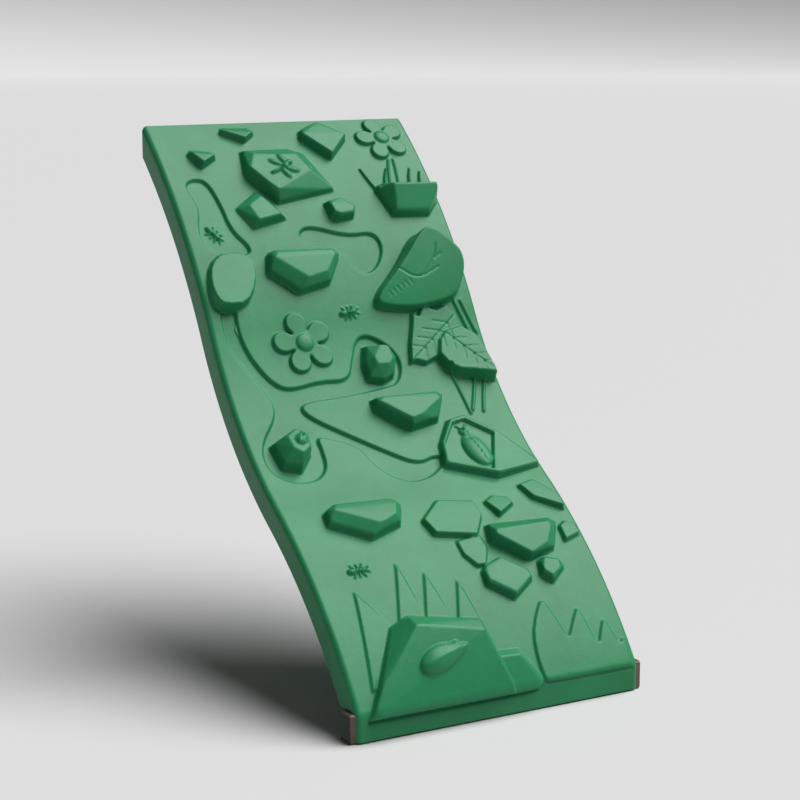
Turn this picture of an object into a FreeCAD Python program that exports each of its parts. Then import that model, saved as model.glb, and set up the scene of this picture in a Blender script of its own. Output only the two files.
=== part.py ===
import FreeCAD, Part
import math
import os

import Sketcher

# Rock climbing wall for a play deck: a moulded green panel with rocks, leaves and flowers,
# carried by a welded steel ladder frame, standing on a steel foot channel and bolted to the deck.
# Axes: X across the wall (to the right, seen from the climber's side), +Y towards the deck,
# +Z up. Origin: on the ground, at the centre of the foot channel's underside.
# The climbing face is three tangent arcs in the YZ plane. "Station" is the arc length along the
# face above the lip, and "depth" is the distance into the panel, square to the face.

doc = FreeCAD.newDocument("rock_climbing_wall")
Vector = FreeCAD.Vector

# ---------------------------------------------------------------- driving dimensions (mm, degrees)

DIMENSIONS = [
    ("panel_width", 711), ("wall", 6.5), ("edge_depth", 58), ("edge_round", 12),
    ("lip_bottom", 4), ("lip_round", 29), ("face_start_rise", 69),
    ("foot_slope", 56), ("foot_radius", 1230), ("foot_turn", 23.7),
    ("waist_radius", 956), ("waist_turn", 28.7),
    ("crest_radius", 1520), ("crest_turn", 22.3), ("run_to_deck", 1072),
    ("channel_length", 731), ("channel_depth", 44), ("channel_height", 64),
    ("channel_steel", 5), ("channel_bend", 7), ("channel_gap", 1.5),
    ("anchor_radius", 7), ("anchor_pitch", 200), ("anchor_back", 3),
    ("rail_steel", 6), ("rail_near", 12), ("rail_far", 52), ("side_clearance", 1),
    ("bar_width", 40), ("bar_near", 20), ("bar_far", 50), ("bar_steel", 4),
    ("bar_first", 190), ("bar_pitch", 400), ("bar_count", 4),
    ("boss_radius", 16), ("insert_radius", 7), ("insert_length", 10), ("insert_pitch", 270),
    ("bolt_radius", 4), ("bolt_head_width", 13), ("bolt_head_height", 5.3),
    ("bolt_reach", 9), ("washer_radius", 8), ("washer_steel", 1.6),
    ("fit_clearance", 0.2), ("bolt_clearance", 0.5),
    ("deck_angle_height", 44), ("deck_angle_leg", 46), ("deck_angle_steel", 6),
    ("deck_angle_bottom", 1146), ("deck_hole_radius", 5.5), ("deck_hole_pitch", 180),
    ("deck_hole_height", 1168), ("gusset_steel", 5), ("gusset_size", 30), ("gusset_side", 180),
    ("foot_plate_width", 68), ("foot_plate_front", -14), ("foot_plate_back", 42),
    ("foot_plate_steel", 5), ("foot_bolt_back", 4), ("foot_bolt_inner", 294),
    ("foot_bolt_outer", 324), ("foot_bolt_radius", 5), ("foot_bolt_head", 17),
    ("foot_bolt_head_height", 6.4), ("foot_nut_height", 8), ("foot_bolt_length", 24),
    ("foot_washer_radius", 10), ("foot_washer_steel", 2), ("foot_hole_radius", 5.5),
]

sheet = doc.addObject("Spreadsheet::Sheet", "Dimensions")
for row, (alias, value) in enumerate(DIMENSIONS, start=1):
    sheet.set("A%d" % row, alias)
    sheet.set("B%d" % row, str(value))
    sheet.setAlias("B%d" % row, alias)
doc.recompute()


def size(alias):
    return float(sheet.get(alias))


# Values worked out from the sheet and used by several pieces, as expressions for the sketches.
LIP_FRONT = "(-Dimensions.channel_depth / 2 - Dimensions.wall)"
DECK_FACE = "(%s + Dimensions.run_to_deck)" % LIP_FRONT
ANGLE_BACK = "(%s - Dimensions.wall)" % DECK_FACE
RAIL_OUTER = "(Dimensions.panel_width / 2 - Dimensions.wall - Dimensions.side_clearance)"
RAIL_INNER = "(%s - Dimensions.rail_steel)" % RAIL_OUTER

lip_front = -size("channel_depth") / 2 - size("wall")
deck_face = lip_front + size("run_to_deck")
half_width = size("panel_width") / 2
rail_outer = half_width - size("wall") - size("side_clearance")
rail_inner = rail_outer - size("rail_steel")


# ---------------------------------------------------------------- the climbing face

def face_arcs():
    """Each arc of the face as start y, start z, start slope, length and turn (radians)."""
    slope = math.radians(size("foot_slope"))
    y = lip_front + size("lip_round") * (1 - math.sin(slope))
    z = size("face_start_rise")
    arcs = []
    for name, sign in (("foot", -1), ("waist", 1), ("crest", -1)):
        turn = sign * math.radians(size(name + "_turn"))
        radius = sign * size(name + "_radius")
        arcs.append((y, z, slope, radius * turn, turn))
        y += radius * (math.sin(slope + turn) - math.sin(slope))
        z -= radius * (math.cos(slope + turn) - math.cos(slope))
        slope += turn
    return arcs


ARCS = face_arcs()
FACE_LENGTH = sum(arc[3] for arc in ARCS)
EXTENSION = 90.0   # how far the first and last arcs run on before they are trimmed


def station(along, depth):
    """Point of the face at a station and depth, with the slope there in radians."""
    remaining = along
    for index, (y, z, slope, length, turn) in enumerate(ARCS):
        if remaining <= length or index == len(ARCS) - 1:
            break
        remaining -= length
    radius = length / turn
    here = slope + remaining / radius
    y += radius * (math.sin(here) - math.sin(slope))
    z -= radius * (math.cos(here) - math.cos(slope))
    return Vector(0, y + depth * math.sin(here), z - depth * math.cos(here)), here


def face_edges(depth, lip):
    """The face's arcs at a depth, run on past the deck. Below them is the lip, or the foot arc
    run on."""
    first = 0 if lip else -EXTENSION
    joints = [first, ARCS[0][3], ARCS[0][3] + ARCS[1][3], FACE_LENGTH + EXTENSION]
    edges = []
    for low, high in zip(joints, joints[1:]):
        points = [station(along, depth)[0] for along in (low, (low + high) / 2, high)]
        edges.append(Part.Arc(*points).toShape())
    if not lip:
        return edges
    radius = size("lip_round")
    centre, slope = station(0, radius)
    middle = (math.pi / 2 + slope) / 2
    reach = radius - depth
    top = station(0, depth)[0]
    halfway = centre + Vector(0, -reach * math.sin(middle), reach * math.cos(middle))
    bottom = Vector(0, centre.y - reach, centre.z)
    ground = Vector(0, bottom.y, -EXTENSION)
    return [Part.makeLine(ground, bottom), Part.Arc(bottom, halfway, top).toShape()] + edges


def band(near, far, left, right, lip):
    """Solid between two depths of the face and two sides."""
    front = face_edges(near, lip)
    back = face_edges(far, False)
    ends = [
        Part.makeLine(front[0].Vertexes[0].Point, back[0].Vertexes[0].Point),
        Part.makeLine(front[-1].Vertexes[-1].Point, back[-1].Vertexes[-1].Point),
    ]
    wire = Part.Wire(Part.__sortEdges__(front + back + ends))
    solid = Part.Face(wire).extrude(Vector(right - left, 0, 0))
    solid.translate(Vector(left, 0, 0))
    return solid


def block(low, high):
    return Part.makeBox(high[0] - low[0], high[1] - low[1], high[2] - low[2], Vector(*low))


def face_frame(across, along):
    """Placement at a point of the face: local X across, Y up the slope, Z out of the face."""
    point, slope = station(along, 0)
    turn = FreeCAD.Rotation(Vector(1, 0, 0), math.degrees(slope))
    return FreeCAD.Placement(Vector(across, point.y, point.z), turn)


# ---------------------------------------------------------------- sketch and feature helpers

def origin_plane(body, role):
    return [item for item in body.Origin.OriginFeatures if item.Role == role][0]


def new_body(label):
    body = doc.addObject("PartDesign::Body", label)
    body.Label = label
    return body


def new_sketch(body, name, role, level=None):
    sketch = body.newObject("Sketcher::SketchObject", name)
    sketch.AttachmentSupport = (origin_plane(body, role), [""])
    sketch.MapMode = "FlatFace"
    if level is not None:
        sketch.setExpression("AttachmentOffset.Base.z", level)
    return sketch


def evaluate(expression):
    """Number that an expression on the sheet gives now, to start a sketch near its answer."""
    probe = doc.addObject("Part::Feature", "Probe")
    probe.addProperty("App::PropertyFloat", "Answer")
    probe.setExpression("Answer", expression)
    doc.recompute([probe])
    answer = probe.Answer
    doc.removeObject(probe.Name)
    return answer


def place_point(sketch, geometry, vertex, x_expression, y_expression):
    """Tie one sketch point to two expressions, measured from the sketch's origin."""
    for kind, expression in (("DistanceX", x_expression), ("DistanceY", y_expression)):
        start = evaluate(expression)
        index = sketch.addConstraint(Sketcher.Constraint(kind, -1, 1, geometry, vertex, start))
        sketch.setExpression("Constraints[%d]" % index, expression)


def draw_polygon(sketch, corners):
    """Closed outline of straight lines, each corner given as two expressions."""
    points = [Vector(evaluate(x), evaluate(y), 0) for x, y in corners]
    first = sketch.GeometryCount
    count = len(corners)
    for index in range(count):
        line = Part.LineSegment(points[index], points[(index + 1) % count])
        sketch.addGeometry(line, False)
    for index in range(count):
        after = first + (index + 1) % count
        sketch.addConstraint(Sketcher.Constraint("Coincident", first + index, 2, after, 1))
    for index, (x, y) in enumerate(corners):
        place_point(sketch, first + index, 1, x, y)


def draw_circle(sketch, centre, radius):
    """Circle with its centre and radius given as expressions."""
    middle = Vector(evaluate(centre[0]), evaluate(centre[1]), 0)
    circle = Part.Circle(middle, Vector(0, 0, 1), evaluate(radius))
    index = sketch.addGeometry(circle, False)
    bound = sketch.addConstraint(Sketcher.Constraint("Radius", index, evaluate(radius)))
    sketch.setExpression("Constraints[%d]" % bound, radius)
    place_point(sketch, index, 3, *centre)


def pad(body, sketch, length, middle=True):
    feature = body.newObject("PartDesign::Pad", sketch.Name + "_pad")
    feature.Profile = sketch
    feature.Midplane = middle
    feature.setExpression("Length", length)
    doc.recompute()
    return feature


def pocket(body, sketch, length):
    """Cut a sketch into the body, against the sketch's normal, and make sure that it cuts."""
    before = body.Shape.Volume
    feature = body.newObject("PartDesign::Pocket", sketch.Name + "_pocket")
    feature.Profile = sketch
    feature.setExpression("Length", length)
    doc.recompute()
    if not body.Shape.Volume < before:
        raise RuntimeError("%s cuts nothing" % feature.Name)
    return feature


def drill(body, name, role, level, centres, radius, length):
    """Round holes at the centres, from a level of an origin plane down by a length."""
    sketch = new_sketch(body, name, role, level)
    for centre in centres:
        draw_circle(sketch, centre, radius)
    return pocket(body, sketch, length)


def plain_feature(label, shape, placement=None):
    feature = doc.addObject("Part::Feature", label)
    feature.Label = label
    feature.Shape = shape
    if placement is not None:
        feature.Placement = placement
    return feature


def repeated(label, master, placements):
    """One node that holds a copy of the master's solid at each placement."""
    copies = []
    for placement in placements:
        copy = master.Shape.copy()
        copy.Placement = placement.multiply(copy.Placement)
        copies.append(copy)
    return plain_feature(label, Part.makeCompound(copies))


# ---------------------------------------------------------------- moulded panel

# Each rock: base outline as (across, station) corners, height above the face, and the top
# outline where it isn't simply the base drawn in. Places are millimetres on the face.
ROCKS = [
    {"base": [(-275, 1475), (-235, 1472), (-213, 1447), (-240, 1428), (-270, 1455)], "height": 20},
    {"base": [(-160, 1545), (-80, 1540), (-124, 1508)], "height": 14},
    {"base": [(-137, 1400), (-76, 1315), (45, 1320), (20, 1405), (-12, 1455), (-100, 1458)],
     "top": [(-118, 1390), (-80, 1340), (-65, 1338), (12, 1402), (-14, 1444), (-98, 1446)],
     "height": 28},
    {"base": [(45, 1520), (115, 1562), (170, 1535), (118, 1462)], "height": 24},
    {"base": [(165, 1325), (215, 1335), (340, 1325), (325, 1275), (235, 1255), (190, 1272)],
     "height": 42},
    {"base": [(-207, 1290), (-170, 1325), (-98, 1275), (-150, 1250)], "height": 26},
    {"base": [(28, 1290), (45, 1300), (92, 1282), (95, 1265), (58, 1250)], "height": 24},
    {"base": [(-337, 1080), (-325, 1042), (-258, 1038), (-228, 1075), (-208, 1140), (-228, 1178),
              (-278, 1180), (-318, 1150)], "height": 22},
    {"base": [(-173, 1128), (-145, 1170), (0, 1168), (8, 1140), (-12, 1098), (-101, 1056)],
     "height": 30},
    {"base": [(73, 1022), (90, 1045), (205, 1170), (285, 1205), (330, 1160), (337, 1100),
              (315, 1040), (255, 1012), (107, 1010)], "height": 38},
    {"base": [(2, 895), (30, 915), (72, 890), (72, 855), (39, 832), (3, 862)], "height": 28},
    {"base": [(-25, 728), (-5, 762), (155, 760), (140, 712), (49, 670)], "height": 30},
    {"base": [(-310, 670), (-306, 634), (-274, 606), (-222, 635), (-215, 675), (-258, 710)],
     "height": 30},
    {"base": [(89, 560), (105, 600), (150, 650), (220, 690), (262, 630), (332, 535), (275, 510),
              (212, 506)],
     "top": [(108, 572), (116, 600), (154, 640), (212, 672), (248, 622), (258, 600), (232, 560),
             (200, 535)],
     "height": 34},
    {"base": [(-262, 440), (-238, 480), (-88, 478), (-85, 445), (-105, 405), (-190, 380)],
     "height": 28},
    {"base": [(-32, 405), (20, 465), (110, 455), (115, 405), (70, 360), (-20, 372)], "height": 12},
    {"base": [(140, 432), (178, 458), (212, 432), (160, 402)], "height": 12},
    {"base": [(245, 472), (298, 465), (338, 412), (320, 390), (260, 418)], "height": 14},
    {"base": [(100, 335), (135, 365), (275, 352), (255, 305), (178, 280), (104, 322)],
     "height": 28},
    {"base": [(288, 340), (326, 358), (338, 330), (322, 308), (282, 316)], "height": 12},
    {"base": [(50, 258), (92, 280), (170, 246), (148, 215), (106, 192), (47, 226)], "height": 18},
    {"base": [(185, 242), (225, 265), (250, 236), (222, 212), (190, 230)], "height": 18},
    {"base": [(-318, 8), (-215, 165), (-155, 170), (-10, 128), (2, 62), (70, 58), (92, 8)],
     "height": 16},
    {"base": [(150, 868), (140, 935), (168, 985), (250, 980), (252, 900)], "height": 12},
    {"base": [(212, 868), (240, 915), (315, 915), (336, 840), (330, 795), (240, 822)],
     "height": 26},
]
FLOWERS = [(-135, 930), (262, 1500)]   # centres of the two flowers
ROCK_DRAFT = 11.0       # how far a rock's sides lean in from base to top
ROCK_ROOT = 15.0        # how deep a rock is drawn into the panel before the inside is cut out
HOLLOW_LEAST = 20.0     # rocks lower than this are solid
PETAL_RADIUS = 27.0
PETAL_CIRCLE = 40.0
FLOWER_HEIGHT = 9.0
PETALS = 5


def drawn_in(outline, distance):
    """The outline moved in towards its middle by about a distance."""
    count = len(outline)
    middle_x = sum(point[0] for point in outline) / count
    middle_y = sum(point[1] for point in outline) / count
    reach = [math.hypot(x - middle_x, y - middle_y) for x, y in outline]
    factor = 1 - distance / (sum(reach) / count)
    return [(middle_x + (x - middle_x) * factor, middle_y + (y - middle_y) * factor)
            for x, y in outline]


def rock_solid(rock, inset):
    """A rock's solid, or with an inset the hollow that leaves a wall of that thickness."""
    base = rock["base"]
    top = rock.get("top", drawn_in(base, ROCK_DRAFT))
    if inset:
        base = drawn_in(base, inset)
        top = drawn_in(top, inset)
    across = sum(point[0] for point in base) / len(base)
    along = sum(point[1] for point in base) / len(base)
    wires = []
    for outline, level in ((base, -ROCK_ROOT), (top, rock["height"] - inset)):
        points = [Vector(x - across, y - along, level) for x, y in outline]
        wires.append(Part.makePolygon(points + points[:1]))
    solid = Part.makeLoft(wires, True, True)
    solid.Placement = face_frame(across, along)
    return solid


def flower_solid(across, along):
    """Five round petals and a centre, standing a little proud of the face."""
    height = ROCK_ROOT + FLOWER_HEIGHT
    solid = Part.makeCylinder(PETAL_RADIUS, height, Vector(0, 0, -ROCK_ROOT))
    for petal in range(PETALS):
        angle = 2 * math.pi * petal / PETALS + math.pi / 2
        centre = Vector(PETAL_CIRCLE * math.cos(angle), PETAL_CIRCLE * math.sin(angle), -ROCK_ROOT)
        solid = solid.fuse(Part.makeCylinder(PETAL_RADIUS, height, centre))
    solid.Placement = face_frame(across, along)
    return solid


def insert_frames():
    """Face frames of the moulded-in inserts: three on each cross bar."""
    frames = []
    for bar in range(int(size("bar_count"))):
        for place in (-1, 0, 1):
            along = size("bar_first") + bar * size("bar_pitch")
            frames.append(face_frame(place * size("insert_pitch"), along))
    return frames


def deck_hole_places():
    return [(place - 1.5) * size("deck_hole_pitch") for place in range(4)]


def rounded_sides(solid, radius):
    """Round a slab's long front edges, where its face meets its two sides."""
    curve = Part.Wire(face_edges(0, True))
    edges = []
    for edge in solid.Edges:
        middle = edge.valueAt((edge.FirstParameter + edge.LastParameter) / 2)
        on_side = abs(abs(middle.x) - half_width) < 0.01
        if on_side and curve.distToShape(Part.Vertex(0, middle.y, middle.z))[0] < 0.01:
            edges.append(edge)
    return solid.makeFillet(radius, edges)


def panel_outside():
    """The panel's outer form: curved slab with a straight lip, cut off at the deck face."""
    slab = band(0, size("edge_depth"), -half_width, half_width, True)
    slab = rounded_sides(slab, size("edge_round"))
    high = 2 * size("run_to_deck")
    beside = half_width + 1
    slab = slab.common(block((-beside, -high, size("lip_bottom")), (beside, deck_face, high)))
    shoulder = size("channel_height") + size("channel_gap")
    over_channel = block((-beside, lip_front + size("wall"), -1), (beside, high, shoulder))
    return slab.cut(over_channel)


def panel_inside():
    """Everything inside the panel's wall: the open back, and the hollows behind the rocks."""
    wall = size("wall")
    inner = half_width - wall
    space = band(wall, size("edge_depth") * 2, -inner, inner, True)
    high = 2 * size("run_to_deck")
    space = space.common(block((-half_width, -high, -1), (half_width, deck_face - wall, high)))
    hollows = [rock_solid(rock, wall) for rock in ROCKS if rock["height"] >= HOLLOW_LEAST]
    space = space.fuse(hollows)
    bosses = []
    for frame in insert_frames():
        column = Part.makeCylinder(size("boss_radius"), EXTENSION, Vector(0, 0, -size("bar_near")))
        column.Placement = frame
        bosses.append(column)
    return space.cut(bosses)


def make_panel():
    """Moulded panel: outer form with the relief, hollowed, with its insert and deck holes."""
    relief = [rock_solid(rock, 0) for rock in ROCKS]
    relief += [flower_solid(across, along) for across, along in FLOWERS]
    solid = panel_outside().fuse(relief)
    solid = solid.cut(panel_inside())
    holes = []
    for frame in insert_frames():
        hole = Part.makeCylinder(size("insert_radius") + size("fit_clearance") / 2,
                                 size("insert_length"), Vector(0, 0, -size("bar_near")))
        hole.Placement = frame
        holes.append(hole)
    for place in deck_hole_places():
        start = Vector(place, deck_face - size("wall") - 1, size("deck_hole_height"))
        holes.append(Part.makeCylinder(size("deck_hole_radius"), size("wall") + 2, start,
                                       Vector(0, 1, 0)))
    solid = solid.cut(holes).removeSplitter()
    return plain_feature("climber_panel", solid.Solids[0] if len(solid.Solids) == 1 else solid)


# ---------------------------------------------------------------- steel frame

def make_rail(label, side):
    """S-shaped flat rail inside one edge of the panel, from the foot plate to the deck angle."""
    rail = band(size("rail_near"), size("rail_far"), 0, size("rail_steel"), False)
    bottom = size("channel_height") + size("foot_plate_steel")
    room = block((-1, lip_front, bottom), (half_width, deck_face - size("wall"), deck_face * 2))
    rail = rail.common(room)
    left = rail_inner if side > 0 else -rail_outer
    return plain_feature(label, rail, FreeCAD.Placement(Vector(left, 0, 0), FreeCAD.Rotation()))


def make_cross_bar(number):
    """Steel angle across the frame: a flat leg on the bosses and a leg standing out behind."""
    body = new_body("cross_bar_%d" % number)
    half = "Dimensions.bar_width / 2"
    near = "-Dimensions.bar_near"
    skin = "-Dimensions.bar_near - Dimensions.bar_steel"
    far = "-Dimensions.bar_far"
    inner = "-Dimensions.bar_width / 2 + Dimensions.bar_steel"
    sketch = new_sketch(body, "bar_section_%d" % number, "YZ_Plane")
    draw_polygon(sketch, [("-" + half, near), (half, near), (half, skin), (inner, skin),
                          (inner, far), ("-" + half, far)])
    pad(body, sketch, "2 * " + RAIL_INNER)
    centres = [("%d * Dimensions.insert_pitch" % place, "0 * Dimensions.insert_pitch")
               for place in (-1, 0, 1)]
    drill(body, "bar_holes_%d" % number, "XY_Plane", "-Dimensions.bar_near", centres,
          "Dimensions.bolt_radius + Dimensions.bolt_clearance", "Dimensions.bar_steel")
    body.Placement = face_frame(0, size("bar_first") + (number - 1) * size("bar_pitch"))
    return body


def make_deck_angle():
    """Steel angle at the top of the frame. Its upright leg takes the deck bolts."""
    body = new_body("deck_angle")
    bottom = "Dimensions.deck_angle_bottom"
    top = bottom + " + Dimensions.deck_angle_height"
    steel = " + Dimensions.deck_angle_steel"
    front = "%s - Dimensions.deck_angle_leg" % ANGLE_BACK
    upright = "%s - Dimensions.deck_angle_steel" % ANGLE_BACK
    sketch = new_sketch(body, "deck_angle_section", "YZ_Plane")
    draw_polygon(sketch, [(front, bottom), (ANGLE_BACK, bottom), (ANGLE_BACK, top),
                          (upright, top), (upright, bottom + steel), (front, bottom + steel)])
    pad(body, sketch, "2 * " + RAIL_INNER)
    centres = [("%g * Dimensions.deck_hole_pitch" % place, "Dimensions.deck_hole_height")
               for place in (-1.5, -0.5, 0.5, 1.5)]
    drill(body, "deck_holes", "XZ_Plane", "-(%s - 2 * Dimensions.deck_angle_steel)" % ANGLE_BACK,
          centres, "Dimensions.deck_hole_radius", "3 * Dimensions.deck_angle_steel")
    return body


def make_deck_gusset(label, side):
    """Three-cornered web that stiffens the deck angle."""
    body = new_body(label)
    corner_y = "(%s - Dimensions.deck_angle_steel)" % ANGLE_BACK
    corner_z = "(Dimensions.deck_angle_bottom + Dimensions.deck_angle_steel)"
    sketch = new_sketch(body, label + "_outline", "YZ_Plane")
    draw_polygon(sketch, [(corner_y + " - Dimensions.gusset_size", corner_z),
                          (corner_y, corner_z),
                          (corner_y, corner_z + " + Dimensions.gusset_size")])
    pad(body, sketch, "Dimensions.gusset_steel")
    body.Placement.Base = Vector(side * size("gusset_side"), 0, 0)
    return body


def make_foot_channel():
    """Folded steel channel across the foot, open behind, a little wider than the panel."""
    body = new_body("foot_channel")
    front = "-Dimensions.channel_depth / 2"
    back = "Dimensions.channel_depth / 2"
    web = "-Dimensions.channel_depth / 2 + Dimensions.channel_steel"
    ground = "0 * Dimensions.channel_height"
    steel = "Dimensions.channel_steel"
    under = "Dimensions.channel_height - Dimensions.channel_steel"
    top = "Dimensions.channel_height"
    sketch = new_sketch(body, "channel_section", "YZ_Plane")
    draw_polygon(sketch, [(front, ground), (back, ground), (back, steel), (web, steel),
                          (web, under), (back, under), (back, top), (front, top)])
    section = pad(body, sketch, "Dimensions.channel_length")
    bend = body.newObject("PartDesign::Fillet", "channel_bends")
    corner = -size("channel_depth") / 2
    names = []
    for index, edge in enumerate(section.Shape.Edges, start=1):
        box = edge.BoundBox
        if box.XLength > size("channel_depth") and abs(box.Center.y - corner) < 0.01:
            names.append("Edge%d" % index)
    bend.Base = (section, names)
    bend.setExpression("Radius", "Dimensions.channel_bend")
    doc.recompute()
    anchors = [("%g * Dimensions.anchor_pitch" % place, "Dimensions.anchor_back")
               for place in (-1.5, -0.5, 0.5, 1.5)]
    drill(body, "anchor_holes", "XY_Plane", "Dimensions.channel_steel", anchors,
          "Dimensions.anchor_radius", "Dimensions.channel_steel")
    bolts = [("%d * Dimensions.%s" % (side, place), "Dimensions.foot_bolt_back")
             for side in (-1, 1) for place in ("foot_bolt_inner", "foot_bolt_outer")]
    drill(body, "foot_holes", "XY_Plane", "Dimensions.channel_height", bolts,
          "Dimensions.foot_hole_radius", "Dimensions.channel_steel")
    return body


def make_foot_plate(label, side):
    """Flat plate welded under a rail and bolted down on the foot channel."""
    body = new_body(label)
    outer = "%d * %s" % (side, RAIL_OUTER)
    inner = "%d * (%s - Dimensions.foot_plate_width)" % (side, RAIL_OUTER)
    sketch = new_sketch(body, label + "_outline", "XY_Plane", "Dimensions.channel_height")
    draw_polygon(sketch, [(inner, "Dimensions.foot_plate_front"),
                          (outer, "Dimensions.foot_plate_front"),
                          (outer, "Dimensions.foot_plate_back"),
                          (inner, "Dimensions.foot_plate_back")])
    pad(body, sketch, "Dimensions.foot_plate_steel", middle=False)
    centres = [("%d * Dimensions.%s" % (side, place), "Dimensions.foot_bolt_back")
               for place in ("foot_bolt_inner", "foot_bolt_outer")]
    drill(body, label + "_holes", "XY_Plane",
          "Dimensions.channel_height + Dimensions.foot_plate_steel", centres,
          "Dimensions.foot_hole_radius", "Dimensions.foot_plate_steel")
    return body


# ---------------------------------------------------------------- fasteners

def hexagon(sketch, width):
    """Regular hexagon about the origin, measured across its flats."""
    radius = "%s / sqrt(3)" % width
    corners = [("%s * cos(%d deg)" % (radius, 60 * corner),
                "%s * sin(%d deg)" % (radius, 60 * corner)) for corner in range(6)]
    draw_polygon(sketch, corners)


def make_hex_bolt(name, head_width, head_height, shank_radius, length):
    """Bolt along +Z, with the underside of its head at the origin."""
    body = new_body(name)
    head = new_sketch(body, name + "_head", "XY_Plane", "-" + head_height)
    hexagon(head, head_width)
    pad(body, head, head_height, middle=False)
    shank = new_sketch(body, name + "_shank", "XY_Plane")
    draw_circle(shank, ("0 * " + length, "0 * " + length), shank_radius)
    pad(body, shank, length, middle=False)
    return body


def make_ring(name, outer, inner, thickness):
    """Flat ring on the XY plane, rising by its thickness."""
    body = new_body(name)
    sketch = new_sketch(body, name + "_section", "XY_Plane")
    for radius in (outer, inner):
        draw_circle(sketch, ("0 * " + outer, "0 * " + outer), radius)
    pad(body, sketch, thickness, middle=False)
    return body


def make_hex_nut(name, width, inner, height):
    """Nut on the XY plane, rising by its height."""
    body = new_body(name)
    sketch = new_sketch(body, name + "_section", "XY_Plane")
    hexagon(sketch, width)
    draw_circle(sketch, ("0 * " + width, "0 * " + width), inner)
    pad(body, sketch, height, middle=False)
    return body


def lifted(frame, depth):
    """The frame moved into the panel by a depth."""
    return frame.multiply(FreeCAD.Placement(Vector(0, 0, -depth), FreeCAD.Rotation()))


def make_panel_fasteners():
    """Moulded-in inserts, with the bolts and washers that hold the panel to the cross bars."""
    bar_back = size("bar_near") + size("bar_steel")
    frames = insert_frames()
    insert = make_ring("insert_master", "Dimensions.insert_radius",
                       "Dimensions.bolt_radius + Dimensions.fit_clearance",
                       "Dimensions.insert_length")
    washer = make_ring("panel_washer_master", "Dimensions.washer_radius",
                       "Dimensions.bolt_radius + Dimensions.bolt_clearance",
                       "Dimensions.washer_steel")
    bolt = make_hex_bolt("panel_bolt_master", "Dimensions.bolt_head_width",
                         "Dimensions.bolt_head_height", "Dimensions.bolt_radius",
                         "(Dimensions.washer_steel + Dimensions.bar_steel + Dimensions.bolt_reach)")
    washer_back = bar_back + size("washer_steel")
    return [
        repeated("threaded_inserts", insert, [lifted(f, size("bar_near")) for f in frames]),
        repeated("panel_washers", washer, [lifted(f, washer_back) for f in frames]),
        repeated("panel_bolts", bolt, [lifted(f, washer_back) for f in frames]),
    ]


def make_foot_fasteners():
    """Bolts down through the foot plates and the channel, with their washers and nuts."""
    places = [(side * size(name), size("foot_bolt_back"))
              for side in (-1, 1) for name in ("foot_bolt_inner", "foot_bolt_outer")]
    plate_top = size("channel_height") + size("foot_plate_steel")
    washer_top = plate_top + size("foot_washer_steel")
    nut_bottom = size("channel_height") - size("channel_steel") - size("foot_nut_height")
    upright = FreeCAD.Rotation()
    upside_down = FreeCAD.Rotation(Vector(1, 0, 0), 180)
    bolt = make_hex_bolt("foot_bolt_master", "Dimensions.foot_bolt_head",
                         "Dimensions.foot_bolt_head_height", "Dimensions.foot_bolt_radius",
                         "Dimensions.foot_bolt_length")
    washer = make_ring("foot_washer_master", "Dimensions.foot_washer_radius",
                       "Dimensions.foot_hole_radius", "Dimensions.foot_washer_steel")
    nut = make_hex_nut("foot_nut_master", "Dimensions.foot_bolt_head",
                       "Dimensions.foot_bolt_radius", "Dimensions.foot_nut_height")
    groups = []
    for label, master, height, turn in (("foot_bolts", bolt, washer_top, upside_down),
                                        ("foot_washers", washer, plate_top, upright),
                                        ("foot_nuts", nut, nut_bottom, upright)):
        spots = [FreeCAD.Placement(Vector(x, y, height), turn) for x, y in places]
        groups.append(repeated(label, master, spots))
    return groups


# ---------------------------------------------------------------- assembly and export

nodes = [make_panel()]
nodes += [make_rail("rail_left", -1), make_rail("rail_right", 1)]
nodes += [make_cross_bar(number + 1) for number in range(int(size("bar_count")))]
nodes += [make_deck_angle()]
nodes += [make_deck_gusset("deck_gusset_left", -1), make_deck_gusset("deck_gusset_right", 1)]
nodes += [make_foot_channel()]
nodes += [make_foot_plate("foot_plate_left", -1), make_foot_plate("foot_plate_right", 1)]
nodes += make_panel_fasteners()
nodes += make_foot_fasteners()
doc.recompute()

for item in doc.Objects:
    if "Invalid" in item.State or "Error" in item.State:
        raise RuntimeError("%s did not recompute: %s" % (item.Name, item.State))
for node in nodes:
    if node.Shape.isNull() or not node.Shape.isValid():
        raise RuntimeError("%s has no valid shape" % node.Label)

os.makedirs("parts", exist_ok=True)
for node in nodes:
    node.Shape.exportStep("parts/%s.step" % node.Label)
    print("%s: %d solid(s), %.0f mm3" % (node.Label, len(node.Shape.Solids), node.Shape.Volume))
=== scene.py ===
"""Looks of a moulded nature-relief climbing panel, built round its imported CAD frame.

Lengths in the relief and the profile are millimetres: x runs across the panel and s up its
face from the foot. A depth is measured into the panel from its face. Points become metres
when a mesh is made of them.
"""
import itertools
import math

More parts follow.
